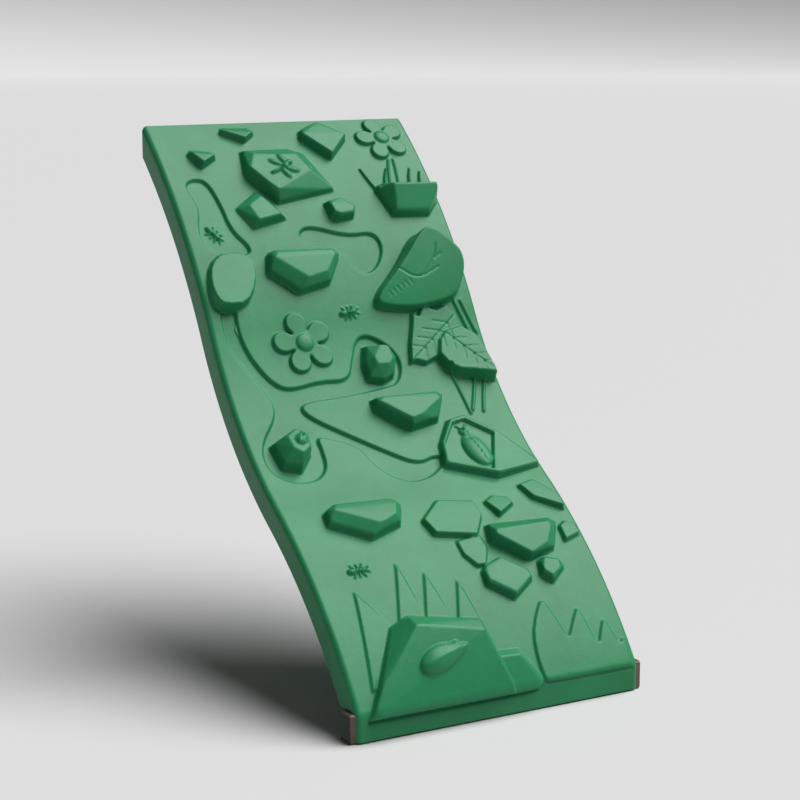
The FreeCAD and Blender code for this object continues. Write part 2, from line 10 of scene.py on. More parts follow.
import bmesh
import bpy
import numpy as np
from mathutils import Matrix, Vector


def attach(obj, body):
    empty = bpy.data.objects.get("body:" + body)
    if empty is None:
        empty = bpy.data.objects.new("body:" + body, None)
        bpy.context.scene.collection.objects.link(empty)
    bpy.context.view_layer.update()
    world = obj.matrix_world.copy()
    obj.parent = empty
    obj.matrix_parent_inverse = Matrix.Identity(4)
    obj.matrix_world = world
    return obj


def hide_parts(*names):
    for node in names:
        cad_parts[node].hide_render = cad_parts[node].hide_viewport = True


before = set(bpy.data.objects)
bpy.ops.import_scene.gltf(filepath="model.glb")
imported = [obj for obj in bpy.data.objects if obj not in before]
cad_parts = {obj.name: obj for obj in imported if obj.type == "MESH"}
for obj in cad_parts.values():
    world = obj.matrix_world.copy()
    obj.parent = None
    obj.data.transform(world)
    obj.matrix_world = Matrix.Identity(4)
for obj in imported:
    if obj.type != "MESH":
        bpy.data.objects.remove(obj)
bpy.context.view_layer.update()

# ------------------------------------------------------------------ the panel's form

MM = 0.001
HALF_WIDTH = 355.5
WALL = 6.5
EDGE_ROUND = 12.0
FLANGE = 58.0
LIP_FRONT = -28.5
LIP_ROUND = 29.0
LIP_LENGTH = 48.8          # straight part of the lip, down to its lower edge
FOOT_SLOPE = math.radians(56.0)
FOOT_RISE = 69.0
SHOULDER = 65.5            # the flanges stop here, over the foot channel
DECK_FACE = 1043.5
FACE_ARCS = [(-1230.0, -23.7), (956.0, 28.7), (-1520.0, -22.3)]   # radius and turn in degrees
LAST_STATIONS = (1300.0, 1700.0)                                  # the deck end lies between
HALVINGS = 40
LIP_ARC = LIP_ROUND * (math.pi / 2 - FOOT_SLOPE)
FOOT_END = -LIP_ARC - LIP_LENGTH
DECK_HOLES = [-270.0, -90.0, 90.0, 270.0]
DECK_HOLE_RISE = 1168.0
DECK_HOLE_RADIUS = 5.5


def face_point(s, depth):
    """Y, Z and slope of the face at stations and depths below its surface."""
    s = np.asarray(s, float)
    y0 = LIP_FRONT + LIP_ROUND * (1 - math.sin(FOOT_SLOPE))
    z0 = FOOT_RISE
    centre_y = y0 + LIP_ROUND * math.sin(FOOT_SLOPE)
    centre_z = z0 - LIP_ROUND * math.cos(FOOT_SLOPE)
    slope = np.minimum(FOOT_SLOPE - s / LIP_ROUND, math.pi / 2)
    y = centre_y - LIP_ROUND * np.sin(slope)
    z = centre_z + LIP_ROUND * np.cos(slope) + np.minimum(s + LIP_ARC, 0)
    start, angle = 0.0, FOOT_SLOPE
    for radius, turn in FACE_ARCS:
        turn = math.radians(turn)
        here = angle + (s - start) / radius
        on_arc = s >= start
        y = np.where(on_arc, y0 + radius * (np.sin(here) - math.sin(angle)), y)
        z = np.where(on_arc, z0 - radius * (np.cos(here) - math.cos(angle)), z)
        slope = np.where(on_arc, here, slope)
        y0 += radius * (math.sin(angle + turn) - math.sin(angle))
        z0 -= radius * (math.cos(angle + turn) - math.cos(angle))
        start += radius * turn
        angle += turn
    return y + depth * np.sin(slope), z - depth * np.cos(slope), slope


def station_at(y, depth):
    """Station where the surface at a depth reaches a given Y near the deck."""
    low, high = (np.full(np.shape(depth), station) for station in LAST_STATIONS)
    for _ in range(HALVINGS):
        middle = (low + high) / 2
        short = face_point(middle, depth)[0] < y
        low = np.where(short, middle, low)
        high = np.where(short, high, middle)
    return low


# ------------------------------------------------------------------ the relief

PITCH = 1.0                # spacing of the relief map's samples
ACROSS = np.arange(-344.0, 344.5, PITCH)
UP = np.arange(-66.0, 1580.5, PITCH)
BANK = 3.0                 # width of the channels' banks
ROCK_BLUR = 1.3            # edges of the boulders and leaves are rounded by this much
DETAIL_BLUR = 0.7
REED_RISE = 5.0
PETALS = 5
RIBS = 4                   # veins on each side of a leaf
relief = np.zeros((len(UP), len(ACROSS)), np.float32)


def window(points, margin):
    """Slices of the relief round some points, with the x and s of every sample there."""
    points = np.array(points, float)
    low = points.min(0) - margin
    high = points.max(0) + margin
    i0, i1 = np.searchsorted(ACROSS, [low[0], high[0]])
    j0, j1 = np.searchsorted(UP, [low[1], high[1]])
    x, s = np.meshgrid(ACROSS[i0:i1], UP[j0:j1])
    return (slice(j0, j1), slice(i0, i1)), x, s


def to_segment(x, s, a, b):
    """Squared distance from samples to a segment."""
    ex, es = b[0] - a[0], b[1] - a[1]
    along = ((x - a[0]) * ex + (s - a[1]) * es) / max(ex * ex + es * es, 1e-9)
    along = np.clip(along, 0, 1)
    return (x - a[0] - along * ex) ** 2 + (s - a[1] - along * es) ** 2


def inside(outline, x, s):
    """Distance to a closed outline, positive inside it."""
    nearest = np.full(x.shape, 1e12)
    within = np.zeros(x.shape, bool)
    for a, b in zip(outline, outline[1:] + outline[:1]):
        nearest = np.minimum(nearest, to_segment(x, s, a, b))
        rise = b[1] - a[1] or 1e-9
        within ^= ((a[1] > s) != (b[1] > s)) & (x < a[0] + (b[0] - a[0]) * (s - a[1]) / rise)
    return np.where(within, 1, -1) * np.sqrt(nearest)


def circle(sides):
    """Angles round one full turn."""
    return np.linspace(0, 2 * math.pi, sides, endpoint=False)


def ramp(value):
    """Smooth step from 0 to 1."""
    value = np.clip(value, 0, 1)
    return value * value * (3 - 2 * value)


def rounded(points, times=3, closed=True):
    """Corners cut again and again, which turns a polygon into a smooth curve."""
    for _ in range(times):
        cut = []
        pairs = zip(points, points[1:] + points[:1]) if closed else zip(points, points[1:])
        for a, b in pairs:
            for share in (0.25, 0.75):
                cut.append((a[0] + (b[0] - a[0]) * share, a[1] + (b[1] - a[1]) * share))
        points = cut if closed else [points[0]] + cut + [points[-1]]
    return points


def shifted(values, reach, axis):
    """A map moved along an axis by each number of samples from -reach to reach."""
    pads = [(reach, reach) if a == axis else (0, 0) for a in (0, 1)]
    padded = np.pad(values, pads, mode="edge")
    for k in range(2 * reach + 1):
        yield np.take(padded, range(k, k + values.shape[axis]), axis)


def blur(values, sigma):
    """Gaussian smoothing, one axis after the other."""
    reach = int(math.ceil(3 * sigma / PITCH))
    offsets = np.arange(-reach, reach + 1)
    weights = np.exp(-0.5 * (offsets * PITCH / sigma) ** 2)
    weights /= weights.sum()
    for axis in (0, 1):
        moved = shifted(values, reach, axis)
        values = sum(weight * part for weight, part in zip(weights, moved)).astype(np.float32)
    return values


def sample(values, x, s):
    """Values of a map at any points, between its samples."""
    i = np.clip((x - ACROSS[0]) / PITCH, 0, len(ACROSS) - 1.001)
    j = np.clip((s - UP[0]) / PITCH, 0, len(UP) - 1.001)
    i0, j0 = i.astype(int), j.astype(int)
    fi, fj = i - i0, j - j0
    low = values[j0, i0] * (1 - fi) + values[j0, i0 + 1] * fi
    high = values[j0 + 1, i0] * (1 - fi) + values[j0 + 1, i0 + 1] * fi
    return low * (1 - fj) + high * fj


def raise_part(part, within, top, steep):
    """Raise part of the relief to a top surface, with sides of a given steepness."""
    ground = relief[part]
    raised = np.minimum(top, ground + within * steep)
    relief[part] = np.where(within > 0, np.maximum(ground, raised), ground)


def rock(outline, height, tilt=(0, 0), steep=6.0, soft=0):
    """Raise a boulder with upright sides.

    height is at the middle of its outline and tilt is how its top changes with x and s.
    """
    if soft:
        outline = rounded(outline, soft)
    part, x, s = window(outline, 2)
    centre = np.array(outline).mean(0)
    top = height + tilt[0] * (x - centre[0]) + tilt[1] * (s - centre[1])
    raise_part(part, inside(outline, x, s), top, steep)


def boulder(base, wall, top, steep=6.0):
    """Raise a faceted boulder: the hull of its base, upright for wall, and its top corners."""
    corners = np.array([(x, s, wall) for x, s in base] + list(top), float)
    part, x, s = window(base, 2)
    lid = np.full(x.shape, np.inf)
    for a, b, c in itertools.combinations(corners, 3):
        normal = np.cross(b - a, c - a)
        if abs(normal[2]) < 1e-3 * np.linalg.norm(normal):
            continue
        normal /= normal[2]
        if ((corners - a) @ normal).max() < 1e-6:
            lid = np.minimum(lid, a[2] - normal[0] * (x - a[0]) - normal[1] * (s - a[1]))
    raise_part(part, inside(base, x, s), lid, steep)


def sunken(outline, depth):
    """Lower the face inside a smooth outline."""
    outline = rounded(outline)
    part, x, s = window(outline, 2)
    relief[part] -= depth * ramp(inside(outline, x, s) / BANK)


def stroke(points, width, height, smooth=True, taper=False):
    """Add a raised line, or an engraved one where the height is negative."""
    if smooth:
        points = rounded(points, 2, closed=False)
    part, x, s = window(points, width + 2)
    best = np.zeros(x.shape)
    count = len(points) - 1
    for number, (a, b) in enumerate(zip(points, points[1:])):
        reach = width * (1 - 0.75 * number / count) if taper else width
        best = np.maximum(best, 1 - np.sqrt(to_segment(x, s, a, b)) / reach)
    relief[part] += height * ramp(best * 1.3)


def dome(x0, s0, long, short, angle, height, power=0.5):
    """Add an oval bump. The angle is its long axis from the x axis, in degrees."""
    part, x, s = window([(x0 - long, s0 - long), (x0 + long, s0 + long)], 1)
    c, n = math.cos(math.radians(angle)), math.sin(math.radians(angle))
    along = ((x - x0) * c + (s - s0) * n) / long
    aside = ((s - s0) * c - (x - x0) * n) / short
    relief[part] += height * np.clip(1 - along ** 2 - aside ** 2, 0, 1) ** power


def plate(outline, height, width=3.0, soft=0):
    """Add a flat raised shape with sloping edges."""
    if soft:
        outline = rounded(outline, soft)
    part, x, s = window(outline, 2)
    relief[part] += height * ramp(inside(outline, x, s) / width)


def cushion(outline, height, reach):
    """Add a smooth swollen shape that is full height this far in from its outline."""
    part, x, s = window(outline, 2)
    relief[part] += height * np.sqrt(np.clip(inside(rounded(outline), x, s) / reach, 0, 1))


# Sunken water channels.
sunken([(-320, 1060), (-325, 960), (-299, 897), (-262, 831), (-249, 773), (-321, 692),
        (-329, 624), (-293, 580), (-228, 572), (-184, 605), (-175, 660), (-176, 697),
        (-150, 690), (-83, 660), (-68, 596), (-11, 536), (60, 545), (120, 590), (100, 612),
        (43, 591), (-21, 638), (-92, 692), (-180, 757), (-186, 790), (-76, 794), (45, 806),
        (86, 817), (110, 866), (95, 911), (47, 949), (8, 945), (-19, 890), (-43, 838),
        (-116, 844), (-192, 829), (-231, 843), (-268, 908), (-286, 978), (-276, 1060)],
       8.0)
sunken([(-309, 1386), (-283, 1400), (-250, 1391), (-236, 1317), (-232, 1247), (-196, 1196),
        (-208, 1172), (-293, 1185), (-318, 1225), (-313, 1265), (-296, 1313), (-308, 1360)],
       7.5)
sunken([(-66, 1228), (-30, 1248), (66, 1212), (138, 1220), (152, 1174), (122, 1121),
        (82, 1100), (51, 1127), (38, 1167), (-8, 1186), (-56, 1200)],
       7.5)

# Boulders, from the deck down.
boulder([(-169, 1537), (-113, 1504), (-79, 1531), (-86, 1553), (-158, 1557)], 1,
        [(-165, 1538, 16), (-113, 1508, 19), (-82, 1532, 15)])
boulder([(-277, 1470), (-252, 1426), (-207, 1455), (-214, 1478), (-262, 1486)], 1,
        [(-273, 1467, 19), (-251, 1430, 23), (-210, 1456, 19)])
boulder([(36, 1510), (99, 1437), (165, 1504), (100, 1560), (45, 1534)], 15,
        [(44, 1511, 23), (97, 1445, 23), (158, 1506, 23), (94, 1549, 19)])
boulder([(-151, 1402), (-90, 1310), (71, 1341), (26, 1458), (-14, 1475), (-136, 1474)], 9,
        [(-146, 1393, 33), (-92, 1332, 34), (10, 1384, 35), (-8, 1438, 31), (-119, 1444, 30)])
boulder([(181, 1334), (203, 1257), (305, 1253), (344, 1296), (344, 1346), (196, 1350)], 9,
        [(212, 1264, 22), (304, 1262, 22), (216, 1326, 46), (342, 1322, 46)])
boulder([(-205, 1301), (-177, 1243), (-83, 1266), (-110, 1314), (-140, 1346)], 5,
        [(-176, 1299, 22), (-165, 1255, 26), (-104, 1268, 25), (-136, 1326, 18)])
boulder([(29, 1304), (33, 1261), (52, 1251), (94, 1257), (107, 1283), (72, 1314)], 17,
        [(36, 1288, 26), (40, 1266, 27), (52, 1260, 27), (86, 1264, 26), (96, 1279, 25),
         (61, 1301, 18)])
rock([(-336, 1105), (-336, 1058), (-314, 1034), (-256, 1038), (-218, 1090), (-203, 1150),
      (-220, 1178), (-278, 1184), (-318, 1154)], 20, tilt=(0, -0.15), soft=1)
boulder([(-168, 1166), (-180, 1123), (-110, 1064), (-26, 1082), (19, 1152), (8, 1170),
         (-156, 1177)], 18,
        [(-150, 1162, 31), (-161, 1148, 35), (-91, 1090, 38), (-39, 1102, 38),
         (-4, 1147, 36), (-8, 1160, 32)])
rock([(72, 1034), (90, 1010), (185, 997), (298, 1014), (336, 1076), (341, 1124),
      (320, 1155), (274, 1200), (233, 1200), (160, 1114)], 42, tilt=(0.05, 0.17), soft=2)
boulder([(20, 920), (3, 872), (5, 832), (44, 821), (77, 836), (95, 880), (74, 914)], 9,
        [(55, 912, 27), (25, 876, 31), (28, 858, 32), (58, 857, 32), (72, 870, 31),
         (70, 905, 28)])
boulder([(-11, 776), (-13, 750), (63, 682), (140, 699), (178, 764), (162, 777)], 17,
        [(10, 768, 31), (-3, 756, 34), (60, 698, 37), (84, 704, 37), (154, 748, 35),
         (148, 764, 31)])
boulder([(-299, 686), (-293, 622), (-249, 606), (-208, 652), (-204, 690), (-238, 714)], 10,
        [(-269, 684, 38), (-267, 648, 42), (-249, 630, 43), (-227, 645, 42),
         (-218, 687, 40), (-242, 702, 38)])
boulder([(97, 566), (218, 512), (343, 535), (343, 552), (276, 650), (208, 707), (164, 698),
         (115, 632)], 13,
        [(108, 570, 19), (217, 519, 21), (335, 540, 16), (272, 644, 20), (206, 700, 18),
         (168, 691, 18), (122, 628, 18)])
boulder([(-257, 472), (-261, 437), (-171, 385), (-90, 412), (-67, 460), (-80, 481),
         (-236, 486)], 16,
        [(-230, 476, 30), (-242, 460, 33), (-154, 410, 35), (-139, 411, 35),
         (-104, 427, 35), (-91, 455, 33), (-99, 472, 30)])
rock([(-34, 417), (-21, 373), (80, 352), (118, 406), (118, 452), (28, 469)], 13,
     tilt=(-0.01, -0.04))
rock([(143, 446), (163, 400), (215, 430), (206, 452), (172, 462)], 11, tilt=(0, -0.12))
rock([(252, 482), (270, 437), (336, 394), (341, 418), (338, 440), (298, 493)], 13,
     tilt=(0, -0.05))
rock([(24, 350), (25, 312), (46, 278), (70, 277), (92, 321), (88, 358)], 8, tilt=(0, -0.04))
boulder([(113, 380), (102, 338), (181, 273), (255, 292), (293, 358), (276, 374)], 12,
        [(117, 348, 33), (113, 338, 32), (171, 282, 28), (184, 280, 28), (230, 298, 29),
         (255, 333, 32), (256, 350, 33)])
rock([(296, 350), (293, 307), (341, 322), (341, 350), (318, 363)], 10, tilt=(0, -0.06))
boulder([(50, 262), (47, 230), (104, 185), (167, 226), (165, 248), (108, 292), (62, 276)], 12,
        [(58, 256, 17), (55, 236, 19), (106, 195, 20), (157, 228, 19), (156, 244, 17),
         (104, 281, 15)])
boulder([(199, 266), (191, 232), (215, 209), (260, 243), (254, 266), (219, 276)], 9,
        [(212, 267, 18), (243, 256, 20), (236, 234, 21), (212, 221, 21), (196, 240, 20)])

# Reeds behind the boulder at the foot: each blade stands out at its left edge.
for foot, tip, end, low in (((-306, 36), (-268, 270), (-208, 165), (-286, 40)),
                            ((-208, 130), (-144, 325), (-124, 190), (-130, 120)),
                            ((-142, 130), (-87, 292), (-60, 165), (-66, 110)),
                            ((-70, 110), (-16, 262), (8, 130), (4, 90))):
    boulder([foot, tip, end, low], 0, [(foot[0] + 3, foot[1] + 2, REED_RISE),
                                       (tip[0] + 1, tip[1] - 12, REED_RISE)], steep=2.5)
# Reed bed on the right.
plate([(128, -12), (108, -10), (105, 2), (104, 40), (112, 96), (140, 146), (170, 182),
       (186, 134), (199, 78), (212, 96), (234, 128), (252, 148), (260, 96), (269, 52),
       (282, 76), (306, 114), (316, 72), (325, 42), (341, 66), (341, -4), (341, -12),
       (320, -12)], 5.5, 4.0, soft=1)

# The big boulder at the foot, in two parts.
boulder([(-218, 168), (-170, 187), (-4, 154), (8, 60), (32, -22), (-329, -22)], 5,
        [(-182, 172, 32), (-16, 143, 34), (-320, 6, 14), (-178, 148, 47), (-24, 114, 47),
         (-9, 58, 33), (25, -17, 13), (-309, -14, 16)])
boulder([(-30, 78), (66, 72), (105, -2), (96, -22), (-30, -22)], 5,
        [(-20, 58, 25), (54, 55, 25), (93, -6, 11), (88, -17, 10), (-20, -17, 10)])

# Grooves under the boulder and the reed bed, above the lip.
stroke([(-326, -24), (-150, -25), (90, -25), (101, -14)], 5.0, -4.0)
stroke([(110, -8), (116, -15), (230, -16), (341, -16)], 5.0, -4.0)

# A pair of leaves at the right edge.
rock([(126, 862), (140, 912), (158, 956), (170, 992), (186, 984), (205, 1012), (238, 996),
      (268, 1006), (290, 975), (296, 940), (262, 905), (216, 876), (168, 856), (142, 866)], 12,
     tilt=(-0.03, -0.01), steep=5.0)
rock([(204, 872), (220, 914), (244, 936), (290, 946), (322, 922), (336, 876), (343, 816),
      (343, 794), (322, 798), (282, 810), (240, 820), (216, 842)], 29,
     tilt=(0.06, -0.10), steep=5.0)

relief = blur(relief, ROCK_BLUR)


def flower(x0, s0, turn, size):
    """Broad petals round a domed button."""
    around = circle(100)
    lobe = np.abs(np.cos(PETALS / 2 * (around - math.radians(turn))))
    reach = size * (0.42 + 0.58 * lobe ** 0.55)
    outline = [(x0 + r * math.cos(a), s0 + r * math.sin(a)) for a, r in zip(around, reach)]
    plate(outline, 9.5, 4.0)
    dome(x0, s0, 0.27 * size, 0.27 * size, 0, 7.0, 0.35)


flower(-132, 940, 29.0, 80.0)
flower(264, 1500, 29.0, 72.0)

# Stems and grass under the upper flower.
stroke([(258, 1430), (243, 1392), (232, 1348)], 4.4, 5.0)
stroke([(272, 1432), (266, 1396), (256, 1348)], 4.0, 4.4)
for x0, s0, x1, s1 in ((166, 1404, 188, 1336), (240, 1402, 218, 1352), (306, 1400, 288, 1352),
                       (330, 1388, 318, 1350)):
    stroke([(x0, s0), ((x0 + x1) / 2 - 2, (s0 + s1) / 2), (x1, s1)][::-1], 6.0, 7.0, taper=True)
# Stems round the leaves.
for line in ([(296, 1024), (304, 990), (314, 944)], [(316, 1016), (328, 965), (336, 930)],
             [(226, 846), (236, 790), (240, 714)], [(290, 812), (270, 766), (248, 722)],
             [(312, 800), (294, 760), (276, 716)]):
    stroke(line, 5.0, 5.0)


def veins(start, end, length):
    """Engrave a leaf's middle vein and the ribs that branch off it."""
    stroke([start, end], 2.6, -2.4)
    dx, ds = end[0] - start[0], end[1] - start[1]
    for rib in range(1, RIBS + 1):
        share = rib / (RIBS + 1.4)
        root = (start[0] + dx * share, start[1] + ds * share)
        reach = length * (1 - 0.13 * abs(rib - 2))
        for hand in (-1, 1):
            way = math.atan2(ds, dx) + hand * math.radians(48)
            tip = (root[0] + reach * math.cos(way), root[1] + reach * math.sin(way))
            stroke([root, tip], 2.2, -1.7)


veins((286, 978), (140, 870), 48)
veins((236, 936), (340, 802), 38)

# Fossil print in the largest boulder.
stroke([(150, 1098), (196, 1066), (258, 1092)], 2.4, -2.4)
stroke([(262, 1146), (250, 1112), (214, 1076)], 2.4, -2.4)
stroke([(270, 1124), (252, 1112)], 2.2, -2.0)
for mark in range(6):
    stroke([(112 + 12 * mark, 1044 + 5 * mark), (120 + 12 * mark, 1032 + 5 * mark)], 2.0, -1.6)


def insect(x0, s0, heading, scale, height):
    """Raised insect: three oval parts with three pairs of jointed legs, and feelers."""
    c, n = math.cos(math.radians(heading)), math.sin(math.radians(heading))

    def place(a, b):
        """A point a along the insect and b to its side."""
        return (x0 + scale * (a * c - b * n), s0 + scale * (a * n + b * c))

    for offset, long, short in ((-13, 9, 6), (0, 6, 4.5), (11, 5.5, 5)):
        dome(*place(offset, 0), long * scale, short * scale, heading, height)
    for root in (-4, 1, 6):
        foot = root * 2.4 - 2
        for hand in (-1, 1):
            stroke([place(root, 2 * hand), place((root + foot) / 2, 8 * hand),
                    place(foot, 13 * hand)], 2.6 * scale ** 0.5, height * 0.5)
    for hand in (-1, 1):
        stroke([place(15, hand), place(23, 6 * hand)], 2.0 * scale ** 0.5, height * 0.5)


insect(6, 1008, 6, 1.15, 8.0)
insect(-237, 314, 2, 1.2, 8.0)
insect(-278, 1240, -55, 1.15, 7.5)

# Dragonfly on the upper boulder.
dome(-52, 1399, 12, 8, 35, 9.0)
dome(-38, 1409, 8, 8, 35, 9.0)
stroke([(-58, 1394), (-74, 1386), (-92, 1380)], 4.6, 7.0)
for x1, s1, way in ((-74, 1412, 150), (-52, 1421, 112), (-36, 1386, -20), (-56, 1377, -62)):
    dome(x1, s1, 18, 8, way, 6.0)
# Beetle in a sunken panel on the right-hand boulder.
plate([(108, 574), (210, 529), (263, 640), (204, 691), (168, 684), (124, 628)], -9.0, 3.0)
dome(199, 598, 51, 31, -80, 14.0, 0.5)
stroke([(191, 636), (199, 598), (206, 556)], 2.2, -2.4)
stroke([(170, 628), (190, 634), (214, 632)], 2.4, -3.0)
dome(189, 656, 13, 11, 0, 8.0)
for x1, s1 in ((175, 676), (203, 677)):
    stroke([(189, 660), (x1, s1)], 2.6, 4.0)
# Ladybird on the boulder in the pool.
dome(-240, 668, 17, 14, 60, 9.0, 0.5)
stroke([(-232, 682), (-240, 668), (-248, 654)], 2.2, -2.4)
for x1, s1 in ((-248, 674), (-233, 662), (-252, 664), (-236, 676)):
    dome(x1, s1, 3.4, 3.4, 0, -2.4)
dome(-231, 683, 6, 6, 0, 6.0)
# Slug on the boulder at the foot.
cushion([(-200, 66), (-190, 42), (-148, 38), (-96, 64), (-66, 92), (-92, 94), (-100, 104),
         (-114, 98), (-134, 102), (-172, 94)], 19.0, 27.0)

relief = blur(relief, DETAIL_BLUR)


# ------------------------------------------------------------------ meshes in general

def bridge(bm, low, high):
    """Quads between two closed rings that have the same number of points."""
    for k in range(len(low)):
        n = (k + 1) % len(low)
        bm.faces.new((low[k], low[n], high[n], high[k]))


def add_object(name, bm, crease=180.0):
    """Object made of a bmesh, smooth except at edges sharper than crease degrees."""
    mesh = bpy.data.meshes.new(name)
    bm.to_mesh(mesh)
    bm.free()
    mesh.shade_smooth()
    if crease < 180.0:
        mesh.set_sharp_from_angle(angle=math.radians(crease))
    piece = bpy.data.objects.new(name, mesh)
    bpy.context.scene.collection.objects.link(piece)
    return piece


# ------------------------------------------------------------------ the panel's mesh

COLUMNS = 271
ROWS = 581
INNER_COLUMNS = 88
ROW_STEP = 4               # the inner skin has one row for this many outer rows
FLAT_HALF = HALF_WIDTH - EDGE_ROUND
INNER_HALF = HALF_WIDTH - WALL
EDGE_FADE = 6.0            # the relief dies away over this width at the panel's sides
ROUND_STEPS = 6
FLANGE_STEPS = 3
END_ROUND = 2.5            # small radius where the face and flanges meet the deck plate
END_STEPS = 3
LEAN = 140.0               # the last rows turn, over this length, to end square to the deck
HOLLOW_BLUR = 4.0
HOLLOW_HALF = 340.0
HOLLOW_SIDE_FADE = 14.0
HOLLOW_END_FADE = 20.0
HOLE_SIDES = 24
BAR_STATIONS = (190.0, 590.0, 990.0, 1390.0)
BOSS_PLACES = [(x, s) for s in BAR_STATIONS for x in (-270.0, 0.0, 270.0)]
BOSS_RADIUS = 16.0
BOSS_DEPTH = 20.0
BOSS_SIDES = 36
INSERT_HOLE = 7.1
INSERT_HOLE_DEPTH = 10.0
PANEL_CREASE = 52.0
MIRROR = np.array([-1, 1, 1])

SPREAD_ROUNDS = 70         # rounds of evening out that draw the grid to the steep places
SPREAD_PULL = 1.5
SPREAD_STEEPEST = 2.5
SPREAD_BLUR = 3.0
SPREAD_SHARE = 0.8


def shrunk(values):
    """Lowest value within a wall's thickness of each sample, smoothed."""
    reach = int(WALL / PITCH)
    for axis in (0, 1):
        values = np.min(list(shifted(values, reach, axis)), 0)
    return blur(values, HOLLOW_BLUR)


hollows = shrunk(relief)


def spread_grid():
    """X and s of the outer skin's points, drawn closer together where the relief is steep."""
    top = station_at(DECK_FACE - END_ROUND, 0.0)
    lip_rows = int(round(-FOOT_END / (top - FOOT_END) * (ROWS - 1)))
    rows = np.concatenate([np.linspace(FOOT_END, 0, lip_rows + 1)[:-1],
                           np.linspace(0, top, ROWS - lip_rows)])
    s, x = np.meshgrid(rows, np.linspace(-FLAT_HALF, FLAT_HALF, COLUMNS), indexing="ij")
    steepness = np.minimum(np.hypot(*np.gradient(relief, PITCH)), SPREAD_STEEPEST)
    stiffness = 1 + SPREAD_PULL * blur(steepness, SPREAD_BLUR)
    for _ in range(SPREAD_ROUNDS):
        k = sample(stiffness, x, s)
        along = (k[1:, :] + k[:-1, :]) / 2
        aside = (k[:, 1:] + k[:, :-1]) / 2
        total = along[1:, 1:-1] + along[:-1, 1:-1] + aside[1:-1, 1:] + aside[1:-1, :-1]
        for values in (x, s):
            pull = (along[1:, 1:-1] * values[2:, 1:-1] + along[:-1, 1:-1] * values[:-2, 1:-1]
                    + aside[1:-1, 1:] * values[1:-1, 2:]
                    + aside[1:-1, :-1] * values[1:-1, :-2])
            values[1:-1, 1:-1] += SPREAD_SHARE * (pull / total - values[1:-1, 1:-1])
        x[0] = x[1]
        x[-1] = x[-2]
    return x, s, rows, lip_rows


def lean(s, depth, y_end):
    """Stations moved so that the last row at any depth ends in one upright plane."""
    front = station_at(y_end, 0.0)
    share = np.clip((s - (front - LEAN)) / LEAN, 0, 1)
    return s - share * (front - station_at(y_end, depth))


def sheet(x, s, depth, y_end):
    """Points at a depth below the face, ending in the upright plane at y_end."""
    y, z, _ = face_point(lean(s, depth, y_end), depth)
    return np.stack([np.broadcast_to(x, y.shape), y, z], -1)


def with_sides(face, right):
    """Grid of a face with columns down its right side, and the same mirrored on its left."""
    left = [column * MIRROR for column in right]
    return np.concatenate([np.stack(left[::-1], 1), face, np.stack(right, 1)], 1)


def side_profile(rows, lip_rows):
    """X and depth of the columns down the right side, and the depth of its free edge.

    Along the lip the rounding stops at the wall's thickness. Above it the flange goes on in,
    short over the foot channel and then full.
    """
    above_lip = np.arange(len(rows)) > lip_rows
    widest = np.where(above_lip, math.pi / 2, math.acos(1 - WALL / EDGE_ROUND))
    sides = []
    for step in range(1, ROUND_STEPS + 1):
        angle = widest * step / ROUND_STEPS
        sides.append((FLAT_HALF + EDGE_ROUND * np.sin(angle), EDGE_ROUND * (1 - np.cos(angle))))
    side_x, rounding = sides[-1]
    _, z, slope = face_point(rows, 0)
    flange = np.clip((z - SHOULDER) / np.maximum(np.cos(slope), 1e-3), EDGE_ROUND, FLANGE)
    free_edge = np.where(above_lip, flange, rounding)
    for step in range(1, FLANGE_STEPS + 1):
        sides.append((side_x, rounding + (free_edge - rounding) * step / FLANGE_STEPS))
    return sides, free_edge


def end_rows(last, side_count):
    """Rows that roll the skin's last row over onto the deck plate."""
    inward = np.tile([0.0, -1.0], (len(last), 1))
    for i in range(side_count):
        angle = min((i + 1) / ROUND_STEPS, 1) * math.pi / 2
        inward[side_count - 1 - i] = (math.sin(angle), -math.cos(angle))
        inward[len(last) - side_count + i] = (-math.sin(angle), -math.cos(angle))
    ends = []
    for step in range(1, END_STEPS + 1):
        angle = math.pi / 2 * step / END_STEPS
        row = last.copy()
        row[:, 0::2] += inward * END_ROUND * (1 - math.cos(angle))
        row[:, 1] = DECK_FACE - END_ROUND + END_ROUND * math.sin(angle)
        ends.append(row)
    return np.array(ends)


def outer_skin(x, s, rows, sides):
    """Grid of points over the relief, down the flanges and round the end at the deck."""
    y_end = DECK_FACE - END_ROUND
    height = sample(relief, x, s) * ramp((FLAT_HALF - np.abs(x)) / EDGE_FADE)
    y, z, _ = face_point(lean(s, 0.0, y_end), -height)
    right = [sheet(across, rows, depth, y_end) for across, depth in sides]
    outer = with_sides(np.stack([x, y, z], -1), right)
    return np.concatenate([outer, end_rows(outer[-1], len(sides))])


def inner_skin(rows, kept, free_edge):
    """Grid of points behind the face, hollow behind each boulder, and inside the flanges."""
    rows, free_edge = rows[kept], free_edge[kept]
    y_end = DECK_FACE - WALL
    x, s = np.meshgrid(np.linspace(-INNER_HALF, INNER_HALF, INNER_COLUMNS), rows)
    hollow = sample(hollows, np.clip(x, -HOLLOW_HALF, HOLLOW_HALF), s)
    hollow *= ramp((INNER_HALF - np.abs(x)) / HOLLOW_SIDE_FADE)
    hollow *= ramp((rows[-1] - s) / HOLLOW_END_FADE)
    right = [sheet(INNER_HALF, rows, WALL + (free_edge - WALL) * step / FLANGE_STEPS, y_end)
             for step in range(1, FLANGE_STEPS + 1)]
    return with_sides(sheet(x, s, WALL - hollow, y_end), right)


def grid_faces(index, flip=False):
    """Quads over a table of vertex numbers."""
    a, b = index[:-1, :-1], index[:-1, 1:]
    c, d = index[1:, 1:], index[1:, :-1]
    quads = np.stack([a, d, c, b] if flip else [a, b, c, d], -1)
    return quads.reshape(-1, 4).tolist()


